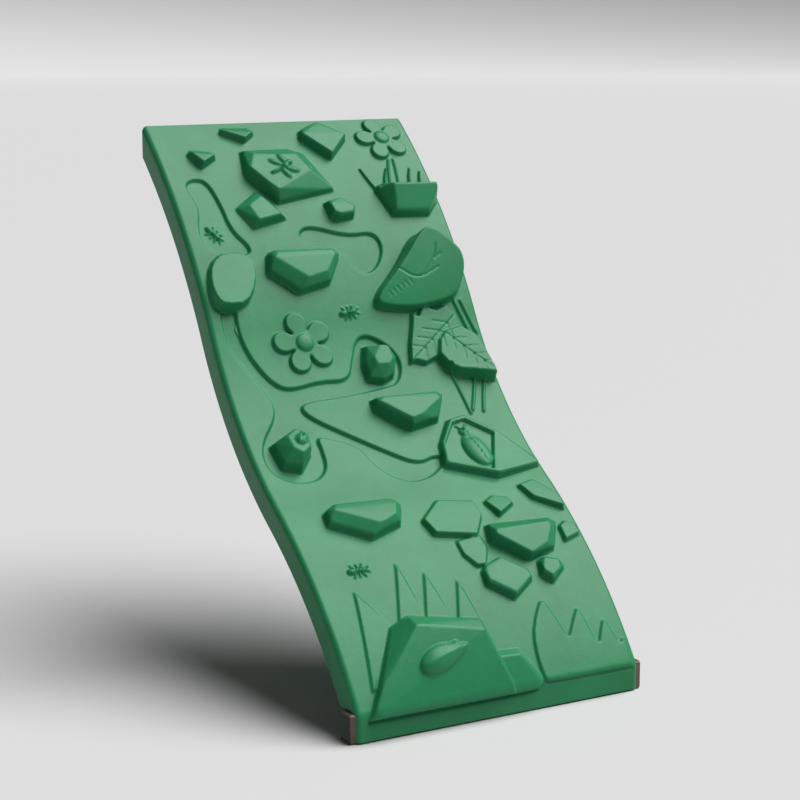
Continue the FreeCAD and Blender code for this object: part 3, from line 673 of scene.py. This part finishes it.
def rim_faces(outside, behind, kept):
    """Faces that join the two skins along the flanges' free edges and under the lip."""
    faces = []
    for hand in (0, -1):
        for k, (low, high) in enumerate(zip(kept, kept[1:])):
            face = outside[low:high + 1, hand].tolist() + behind[k:k + 2, hand].tolist()[::-1]
            faces.append(face[::-1] if hand == -1 else face)
    faces.append(behind[0].tolist() + outside[0].tolist()[::-1])
    return faces


def add_deck_plate(bm, outside, behind, row_count):
    """Plate against the deck: an outer and an inner sheet, its bolt holes and its edges."""
    bm.verts.ensure_lookup_table()
    last_out = [bm.verts[v] for v in outside[-1].tolist()]
    last_in = [bm.verts[v] for v in behind[-1].tolist()]
    ends = {hand: [bm.verts[v] for v in outside[row_count - 1:, hand].tolist()]
            for hand in (0, -1)}
    sheets = []
    for row, y, way in ((last_out, DECK_FACE, 1), (last_in, DECK_FACE - WALL, -1)):
        edges = [bm.edges.get(pair) or bm.edges.new(pair) for pair in zip(row, row[1:])]
        edges.append(bm.edges.new((row[-1], row[0])))
        holes = []
        for x in DECK_HOLES:
            ring = [bm.verts.new(((x + DECK_HOLE_RADIUS * math.cos(a)) * MM, y * MM,
                                  (DECK_HOLE_RISE + DECK_HOLE_RADIUS * math.sin(a)) * MM))
                    for a in circle(HOLE_SIDES)]
            edges += [bm.edges.new(pair) for pair in zip(ring, ring[1:] + ring[:1])]
            holes.append(ring)
        bmesh.ops.triangle_fill(bm, use_beauty=True, edges=edges, normal=(0, way, 0))
        sheets.append(holes)
    for hole_out, hole_in in zip(*sheets):
        bridge(bm, hole_in, hole_out)
    bm.faces.new((last_out[0], last_out[-1], last_in[-1], last_in[0]))
    for hand in (0, -1):
        bm.faces.new(ends[hand] + [last_in[hand]])


def face_frame(x, s):
    """A point on the face with the directions up the face and into the panel."""
    y, z, slope = face_point(s, 0.0)
    up = np.array([0.0, math.cos(slope), math.sin(slope)])
    inward = np.array([0.0, math.sin(slope), -math.cos(slope)])
    return np.array([x, float(y), float(z)]), up, inward


def add_boss(bm, x, s):
    """Boss for a threaded insert, flared where it grows out of the inner skin."""
    origin, up, inward = face_frame(x, s)
    skin = WALL - float(sample(hollows, np.array([x]), np.array([s]))[0]) - 1.0
    rings = []
    for depth, radius in ((skin, BOSS_RADIUS + 5.0), (skin + 2.5, BOSS_RADIUS + 1.8),
                          (skin + 6.0, BOSS_RADIUS + 0.4), (BOSS_DEPTH - 1.0, BOSS_RADIUS),
                          (BOSS_DEPTH, BOSS_RADIUS - 1.0), (BOSS_DEPTH, INSERT_HOLE + 0.5),
                          (BOSS_DEPTH - 0.5, INSERT_HOLE),
                          (BOSS_DEPTH - INSERT_HOLE_DEPTH, INSERT_HOLE)):
        centre = origin + inward * depth
        rings.append([bm.verts.new((centre + radius * (math.cos(a) * np.array([1.0, 0, 0])
                                                       + math.sin(a) * up)) * MM)
                      for a in circle(BOSS_SIDES)])
    for low, high in zip(rings, rings[1:]):
        bridge(bm, low, high)
    bm.faces.new(rings[-1])
    bm.faces.new(rings[0][::-1])


def make_panel():
    """Closed moulded shell: relief face, flanges, deck plate, inner skin and insert bosses."""
    x, s, rows, lip_rows = spread_grid()
    sides, free_edge = side_profile(rows, lip_rows)
    kept = sorted(set(range(0, len(rows) - 1, ROW_STEP)) | {lip_rows, len(rows) - 1})
    outer = outer_skin(x, s, rows, sides)
    inner = inner_skin(rows, kept, free_edge)
    points = np.concatenate([outer.reshape(-1, 3), inner.reshape(-1, 3)]) * MM
    numbers = np.arange(len(points))
    split = outer.shape[0] * outer.shape[1]
    outside = numbers[:split].reshape(outer.shape[:2])
    behind = numbers[split:].reshape(inner.shape[:2])
    skins = bpy.data.meshes.new("skins")
    skins.from_pydata(points.tolist(), [], grid_faces(outside) + grid_faces(behind, flip=True)
                      + rim_faces(outside, behind, kept))
    bm = bmesh.new()
    bm.from_mesh(skins)
    bpy.data.meshes.remove(skins)
    add_deck_plate(bm, outside, behind, len(rows))
    for place in BOSS_PLACES:
        add_boss(bm, *place)
    bmesh.ops.remove_doubles(bm, verts=bm.verts, dist=1e-5)
    bmesh.ops.dissolve_degenerate(bm, edges=bm.edges, dist=1e-5)
    bmesh.ops.recalc_face_normals(bm, faces=bm.faces)
    return add_object("panel_moulding", bm, PANEL_CREASE)


# ------------------------------------------------------------------ materials

class Finish:
    """A node material in the making, with a short call for each thing that it needs."""

    def __init__(self, name):
        self.material = bpy.data.materials.new(name)
        self.material.use_nodes = True
        self.nodes = self.material.node_tree.nodes
        self.links = self.material.node_tree.links
        self.shader = self.nodes["Principled BSDF"]
        self.place = self.nodes.new("ShaderNodeTexCoord").outputs["Object"]

    def noise(self, scale, detail, rough):
        """Noise in the object's own space."""
        node = self.nodes.new("ShaderNodeTexNoise")
        node.inputs["Scale"].default_value = scale
        node.inputs["Detail"].default_value = detail
        node.inputs["Roughness"].default_value = rough
        self.links.new(self.place, node.inputs["Vector"])
        return node.outputs["Fac"]

    def colours(self, source, stops):
        """Colours that change with a source."""
        node = self.nodes.new("ShaderNodeValToRGB")
        elements = node.color_ramp.elements
        while len(elements) < len(stops):
            elements.new(0.5)
        for element, (position, colour) in zip(elements, stops):
            element.position = position
            element.color = (*colour, 1)
        self.links.new(source, node.inputs["Fac"])
        return node.outputs["Color"]

    def product(self, first, second):
        """One colour multiplied by another."""
        node = self.nodes.new("ShaderNodeMix")
        node.data_type = "RGBA"
        node.blend_type = "MULTIPLY"
        node.inputs["Factor"].default_value = 1.0
        self.links.new(first, node.inputs["A"])
        self.links.new(second, node.inputs["B"])
        return node.outputs["Result"]

    def paint(self, colour):
        """Use a colour as the base colour."""
        self.links.new(colour, self.shader.inputs["Base Color"])

    def gloss(self, source, low, high):
        """Let the roughness wander between two values."""
        node = self.nodes.new("ShaderNodeMapRange")
        node.inputs["To Min"].default_value = low
        node.inputs["To Max"].default_value = high
        self.links.new(source, node.inputs["Value"])
        self.links.new(node.outputs["Result"], self.shader.inputs["Roughness"])

    def bumps(self, *layers):
        """Stack fine bumps, each with its noise scale, strength and height in metres."""
        below = None
        for scale, strength, height in layers:
            node = self.nodes.new("ShaderNodeBump")
            node.inputs["Strength"].default_value = strength
            node.inputs["Distance"].default_value = height
            self.links.new(self.noise(scale, 2.0, 0.5), node.inputs["Height"])
            if below is not None:
                self.links.new(below, node.inputs["Normal"])
            below = node.outputs["Normal"]
        self.links.new(below, self.shader.inputs["Normal"])


def green_plastic():
    """Rotationally moulded polyethylene: soft orange peel, faint powder mottling."""
    finish = Finish("green_polyethylene")
    tint = finish.colours(finish.noise(7.0, 4.0, 0.55),
                          [(0.30, (0.016, 0.178, 0.068)), (0.70, (0.021, 0.215, 0.086))])
    fleck = finish.colours(finish.noise(420.0, 2.0, 0.6),
                           [(0.40, (0.90, 0.90, 0.90)), (0.62, (1.0, 1.0, 1.0)),
                            (0.78, (1.12, 1.10, 1.10))])
    finish.paint(finish.product(tint, fleck))
    finish.gloss(finish.noise(60.0, 3.0, 0.6), 0.34, 0.44)
    finish.bumps((34.0, 0.35, 0.0012), (260.0, 0.30, 0.0004))
    finish.shader.inputs["IOR"].default_value = 1.30
    return finish.material


def brown_coat():
    """Brown powder coat over steel: cloudy brown with fine orange peel."""
    finish = Finish("brown_powder_coat")
    cloud = finish.noise(22.0, 4.0, 0.6)
    finish.paint(finish.colours(cloud, [(0.30, (0.070, 0.045, 0.034)),
                                        (0.70, (0.096, 0.064, 0.049))]))
    finish.gloss(cloud, 0.34, 0.46)
    finish.bumps((650.0, 0.25, 0.0004))
    return finish.material


def metal(name, dark, light, low, high, scale):
    """Plain or plated metal with spangle and small changes of gloss."""
    finish = Finish(name)
    cloud = finish.noise(scale, 4.0, 0.6)
    finish.paint(finish.colours(cloud, [(0.3, dark), (0.7, light)]))
    finish.gloss(cloud, low, high)
    finish.bumps((900.0, 0.15, 0.0002))
    finish.shader.inputs["Metallic"].default_value = 1.0
    return finish.material


GREEN = green_plastic()
BROWN = brown_coat()
ZINC = metal("zinc_plate", (0.42, 0.43, 0.44), (0.62, 0.63, 0.64), 0.28, 0.42, 180.0)
BRASS = metal("insert_brass", (0.55, 0.38, 0.14), (0.70, 0.50, 0.20), 0.24, 0.38, 160.0)


def dress(item, material):
    """Give an object one material."""
    item.data.materials.clear()
    item.data.materials.append(material)


panel = make_panel()
dress(panel, GREEN)
dress(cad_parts["climber_panel"], GREEN)
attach(panel, "root")
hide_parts("climber_panel")

# ------------------------------------------------------------------ steel and fixings

HARDWARE = {"panel_bolts": (ZINC, "zinc_steel"), "panel_washers": (ZINC, "zinc_steel"),
            "foot_bolts": (ZINC, "zinc_steel"), "foot_washers": (ZINC, "zinc_steel"),
            "foot_nuts": (ZINC, "zinc_steel"), "threaded_inserts": (BRASS, "insert_brass")}
STEEL_EDGE = 0.9           # width of the broken edges on the frame
HARDWARE_EDGE = 0.4
FLAT_TURN = 0.8            # facets that turn less than this many degrees are one face
SHARP_TURN = 32.0
STEEL_CREASE = 40.0

WELD_RADIUS = 2.6
WELD_STEP = 1.1
WELD_RIPPLE = 3.3          # length of one ripple of a bead
WELD_SIDES = 10
WELD_END = 0.45            # a bead's ends are this much thinner
RAIL_INNER = 342.0         # the rails' inner and outer faces, from the middle
RAIL_OUTER = 348.0
RAIL_EDGES = (14.0, 50.0)  # depths of the rails' edges below the face
PLATE_TOP = 69.0
PLATE_FRONT = -12.0
PLATE_BACK = 40.0
ROOT = 0.4                 # distance of a bead's middle from the corner that it fills
BAR_ROOT = 0.6
BAR_BEADS = (((19.0, 24.4), (-15.4, 24.4), (-15.4, 49.0)), ((-20.4, 26.0), (-20.4, 48.0)))
GUSSET_SIDES = (177.1, 182.9)
GUSSET_BEAD = ((1003.0, 1152.4), (1030.6, 1152.4), (1030.6, 1180.0))
ACROSS_WALL = np.array([1.0, 0, 0])
UPRIGHT = np.array([0.0, 0, 1])


def edged(node, name, width):
    """Copy of a CAD node with its sharp edges rolled over, as on cut and coated steel."""
    bm = bmesh.new()
    bm.from_mesh(node.data)
    bmesh.ops.remove_doubles(bm, verts=bm.verts, dist=2e-6)
    bmesh.ops.dissolve_limit(bm, angle_limit=math.radians(FLAT_TURN), verts=bm.verts,
                             edges=bm.edges)
    sharp = [edge for edge in bm.edges
             if len(edge.link_faces) == 2 and edge.calc_face_angle(0) > math.radians(SHARP_TURN)]
    bmesh.ops.bevel(bm, geom=sharp, offset=width * MM, segments=2, profile=0.5,
                    affect="EDGES", clamp_overlap=True)
    return add_object(name, bm, STEEL_CREASE)


for name, node in list(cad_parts.items()):
    if name == "climber_panel":
        continue
    finish, slot = HARDWARE.get(name, (BROWN, "brown_coat"))
    dress(node, finish)
    piece = edged(node, name + "_finished", HARDWARE_EDGE if name in HARDWARE else STEEL_EDGE)
    dress(piece, finish)
    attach(piece, "root")
    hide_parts(name)


def add_bead(bm, path, sway):
    """Weld bead: a rippled round strip along a path of points."""
    points = []
    for a, b in zip(path, path[1:]):
        count = max(2, int(np.linalg.norm(b - a) / WELD_STEP))
        points += [a + (b - a) * k / count for k in range(count)]
    points.append(path[-1])
    rings = []
    for k, point in enumerate(points):
        before, after = points[max(k - 1, 0)], points[min(k + 1, len(points) - 1)]
        ahead = (after - before) / np.linalg.norm(after - before)
        side = np.cross(ahead, sway)
        side /= np.linalg.norm(side)
        up = np.cross(side, ahead)
        run = k * WELD_STEP
        wave = 0.5 + 0.5 * math.sin(2 * math.pi * run / WELD_RIPPLE)
        radius = WELD_RADIUS * (0.86 + 0.14 * wave + 0.05 * math.sin(run * 0.37))
        if k in (0, len(points) - 1):
            radius *= WELD_END
        rings.append([bm.verts.new((point + radius * (math.cos(a) * side + math.sin(a) * up)) * MM)
                      for a in circle(WELD_SIDES)])
    for low, high in zip(rings, rings[1:]):
        bridge(bm, low, high)
    bm.faces.new(rings[0][::-1])
    bm.faces.new(rings[-1])


def rail_foot():
    """Y of the front and back edges of a rail where it stands on its foot plate."""
    stations = np.linspace(-40.0, 200.0, 2401)
    found = []
    for depth in RAIL_EDGES:
        y, z, _ = face_point(stations, depth)
        found.append(float(y[np.argmin(np.abs(z - PLATE_TOP))]))
    return max(found[0], PLATE_FRONT), min(found[1], PLATE_BACK)


def make_welds():
    """Beads where the cross bars and the foot plates meet the rails, and on the gussets."""
    bm = bmesh.new()
    front, back = rail_foot()
    for hand in (-1, 1):
        for s in BAR_STATIONS:
            origin, up, inward = face_frame(hand * (RAIL_INNER - BAR_ROOT), s)
            for bead in BAR_BEADS:
                add_bead(bm, [origin + up * rise + inward * depth for rise, depth in bead],
                         ACROSS_WALL)
        for x in (RAIL_INNER - ROOT, RAIL_OUTER + ROOT):
            add_bead(bm, [np.array([hand * x, y, PLATE_TOP + ROOT]) for y in (front, back)],
                     UPRIGHT)
        for x in GUSSET_SIDES:
            add_bead(bm, [np.array([hand * x, y, z]) for y, z in GUSSET_BEAD], ACROSS_WALL)
    bmesh.ops.recalc_face_normals(bm, faces=bm.faces)
    return add_object("weld_beads", bm)


welds = make_welds()
dress(welds, BROWN)
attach(welds, "root")

# ------------------------------------------------------------------ floor, light and camera

FLOOR_REACH = 40.0         # flat part; beyond it the floor curves up into the backdrop
FLOOR_RING = 0.5           # flat ring at its edge that keeps the shading level
BACKDROP_ROUND = 4.0
BACKDROP_STEPS = 10
FLOOR_SIDES = 96
FLOOR_SHADE = (0.52, 0.52, 0.52, 1)
FLOOR_ROUGHNESS = 0.8
SUN_POWER = 4.9
SUN_SPREAD = 52.0          # apparent size in degrees: a broad soft light
SUN_FROM = (0.48, -0.20, 0.85)
ROOM_POWER = 0.08
LENS = 92.0
CAMERA_PLACE = (-2.252, -3.5475, 1.497)
CAMERA_AIM = (0.03, 0.47, 0.605)


def make_floor():
    """Round pale floor that curves up all round into a low backdrop."""
    profile = [(FLOOR_REACH - FLOOR_RING, 0.0), (FLOOR_REACH, 0.0)]
    for step in range(1, BACKDROP_STEPS + 1):
        angle = math.pi / 2 * step / BACKDROP_STEPS
        profile.append((FLOOR_REACH + BACKDROP_ROUND * math.sin(angle),
                        BACKDROP_ROUND * (1 - math.cos(angle))))
    bm = bmesh.new()
    rings = [[bm.verts.new((radius * math.cos(a), radius * math.sin(a), height))
              for a in circle(FLOOR_SIDES)] for radius, height in profile]
    bm.faces.new(rings[0])
    for low, high in zip(rings, rings[1:]):
        bridge(bm, high, low)
    return add_object("floor", bm)


def floor_paint():
    """Plain pale matt material for the floor."""
    material = bpy.data.materials.new("pale_floor")
    material.use_nodes = True
    shader = material.node_tree.nodes["Principled BSDF"]
    shader.inputs["Base Color"].default_value = FLOOR_SHADE
    shader.inputs["Roughness"].default_value = FLOOR_ROUGHNESS
    return material


def light_scene():
    """One broad overhead light in a dim white room."""
    sun = bpy.data.lights.new("overhead", "SUN")
    sun.energy = SUN_POWER
    sun.angle = math.radians(SUN_SPREAD)
    lamp = bpy.data.objects.new("overhead", sun)
    lamp.rotation_euler = Vector(SUN_FROM).to_track_quat("Z", "Y").to_euler()
    bpy.context.scene.collection.objects.link(lamp)
    world = bpy.data.worlds.new("studio")
    world.use_nodes = True
    background = world.node_tree.nodes["Background"]
    background.inputs["Color"].default_value = (1, 1, 1, 1)
    background.inputs["Strength"].default_value = ROOM_POWER
    bpy.context.scene.world = world
    bpy.context.scene.view_settings.view_transform = "Standard"


def aim_camera():
    """Camera in front of the wall, to its left and a little above its top."""
    camera = bpy.data.objects.new("camera", bpy.data.cameras.new("camera"))
    camera.data.lens = LENS
    camera.location = CAMERA_PLACE
    look = Vector(CAMERA_AIM) - camera.location
    camera.rotation_euler = look.to_track_quat("-Z", "Y").to_euler()
    bpy.context.scene.collection.objects.link(camera)
    bpy.context.scene.camera = camera


floor = make_floor()
dress(floor, floor_paint())
light_scene()
aim_camera()
